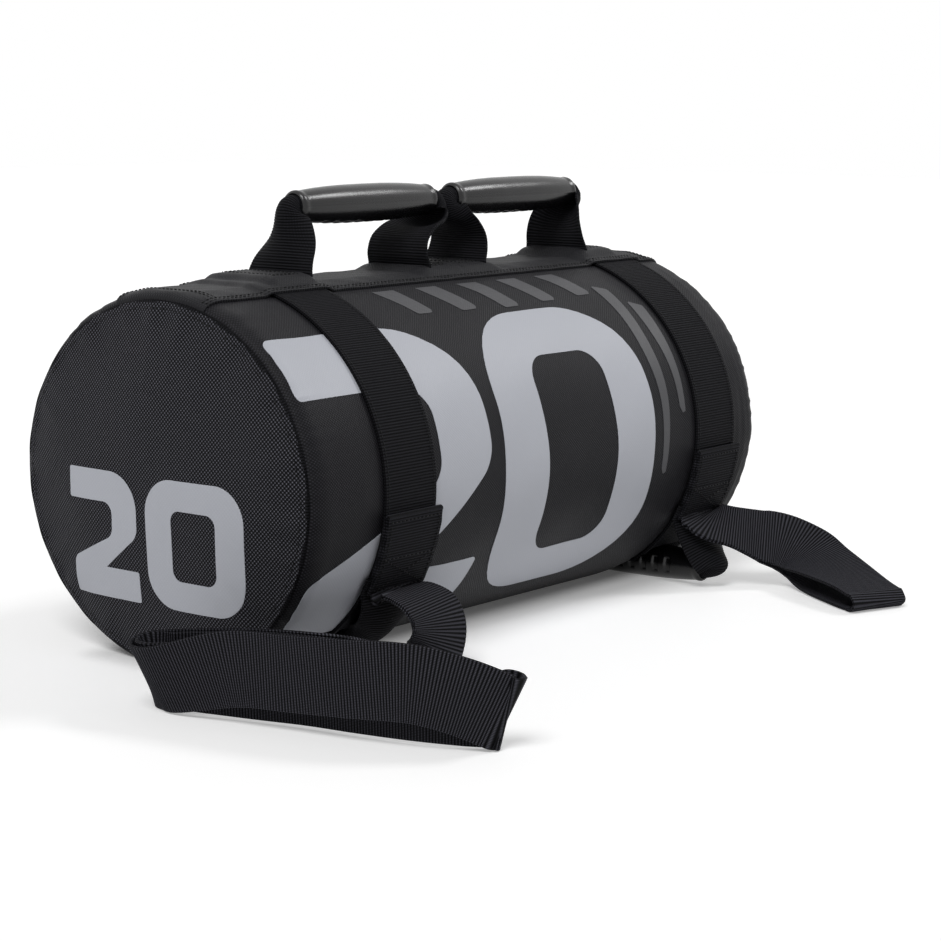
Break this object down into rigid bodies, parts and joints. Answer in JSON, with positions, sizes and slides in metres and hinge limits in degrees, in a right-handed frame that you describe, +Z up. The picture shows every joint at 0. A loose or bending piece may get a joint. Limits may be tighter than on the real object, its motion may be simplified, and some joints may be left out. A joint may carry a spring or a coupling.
{
  "type": "sandbag trainer",
  "caption": "Filled cylindrical training bag lying on its side, with sleeve grips on webbing legs on top and under the belly, webbing bands and doubled floor straps.",
  "frame": {"origin": "middle of the bag's length and width, on the floor that its belly rests on", "axes": "+X along the bag towards its far end, +Y towards its rear, away from the doubled straps, +Z up"},
  "size_m": [0.5892, 0.4279, 0.2982],
  "materials": {
    "coated_fabric": "matte",
    "ballistic_fabric": "matte",
    "webbing": "matte",
    "grip_rubber": "satin",
    "pouch_vinyl": "matte",
    "dark_metal": "satin"
  },
  "bodies": {
    "bag": {"side_panel": "coated_fabric", "near_end_panel": "ballistic_fabric", "far_end_panel": "ballistic_fabric", "top_strip": "coated_fabric", "near_rim_binding": "webbing", "far_rim_binding": "webbing", "near_filler_pouch": "pouch_vinyl", "middle_filler_pouch": "pouch_vinyl", "far_filler_pouch": "pouch_vinyl", "near_band": "webbing", "far_band": "webbing", "near_front_patch": "webbing", "near_rear_patch": "webbing", "far_front_patch": "webbing", "far_rear_patch": "webbing", "zip_upper_tape": "webbing", "zip_lower_tape": "webbing", "zip_upper_teeth": "dark_metal", "zip_lower_teeth": "dark_metal", "zip_start_stop": "dark_metal", "zip_end_stop": "dark_metal", "near_top_outer_tab": "webbing", "near_top_inner_tab": "webbing", "far_top_outer_tab": "webbing", "far_top_inner_tab": "webbing"},
    "near_top_handle": {"near_top_grip": "grip_rubber", "near_top_webbing_core": "webbing", "near_top_outer_leg": "webbing", "near_top_inner_leg": "webbing"},
    "far_top_handle": {"far_top_grip": "grip_rubber", "far_top_webbing_core": "webbing", "far_top_outer_leg": "webbing", "far_top_inner_leg": "webbing"},
    "near_lower_handle": {"near_lower_grip": "grip_rubber", "near_lower_webbing_core": "webbing", "near_lower_front_leg": "webbing", "near_lower_rear_leg": "webbing"},
    "far_lower_handle": {"far_lower_grip": "grip_rubber", "far_lower_webbing_core": "webbing", "far_lower_front_leg": "webbing", "far_lower_rear_leg": "webbing"},
    "near_strap": {"near_strap_root": "webbing", "near_strap_loop": "webbing"},
    "far_strap": {"far_strap_root": "webbing", "far_strap_loop": "webbing"},
    "slider": {"zip_slider": "dark_metal"},
    "pull": {"zip_pull": "dark_metal"}
  },
  "joints": [
    {"name": "near_top_handle_flop", "type": "hinge", "parent": "bag", "child": "near_top_handle", "pos_m": [-0.051, 0, 0.2437], "axis": [1, 0, 0], "range_deg": [-75, 75], "deforming": ["near_top_outer_leg", "near_top_inner_leg"]},
    {"name": "far_top_handle_flop", "type": "hinge", "parent": "bag", "child": "far_top_handle", "pos_m": [0.109, 0, 0.2437], "axis": [1, 0, 0], "range_deg": [-75, 75], "deforming": ["far_top_outer_leg", "far_top_inner_leg"]},
    {"name": "near_lower_handle_drop", "type": "slide", "parent": "bag", "child": "near_lower_handle", "axis": [0, 0, -1], "range_m": [0, 0.03], "deforming": ["near_lower_front_leg", "near_lower_rear_leg"]},
    {"name": "far_lower_handle_drop", "type": "slide", "parent": "bag", "child": "far_lower_handle", "axis": [0, 0, -1], "range_m": [0, 0.03], "deforming": ["far_lower_front_leg", "far_lower_rear_leg"]},
    {"name": "near_strap_swing", "type": "hinge", "parent": "bag", "child": "near_strap", "pos_m": [-0.156, -0.11908, 0.05125], "axis": [0, 0, 1], "range_deg": [-10, 60], "deforming": ["near_strap_root"]},
    {"name": "far_strap_swing", "type": "hinge", "parent": "bag", "child": "far_strap", "pos_m": [0.183, -0.11908, 0.05125], "axis": [0, 0, 1], "range_deg": [-45, 20], "deforming": ["far_strap_root"]},
    {"name": "zip_slider_travel", "type": "slide", "parent": "bag", "child": "slider", "axis": [1, 0, 0], "range_m": [0, 0.233]},
    {"name": "zip_pull_swing", "type": "hinge", "parent": "slider", "child": "pull", "pos_m": [-0.10272, 0.10211, 0.19722], "axis": [0, 0.6773, -0.7357], "range_deg": [0, 150]}
  ]
}
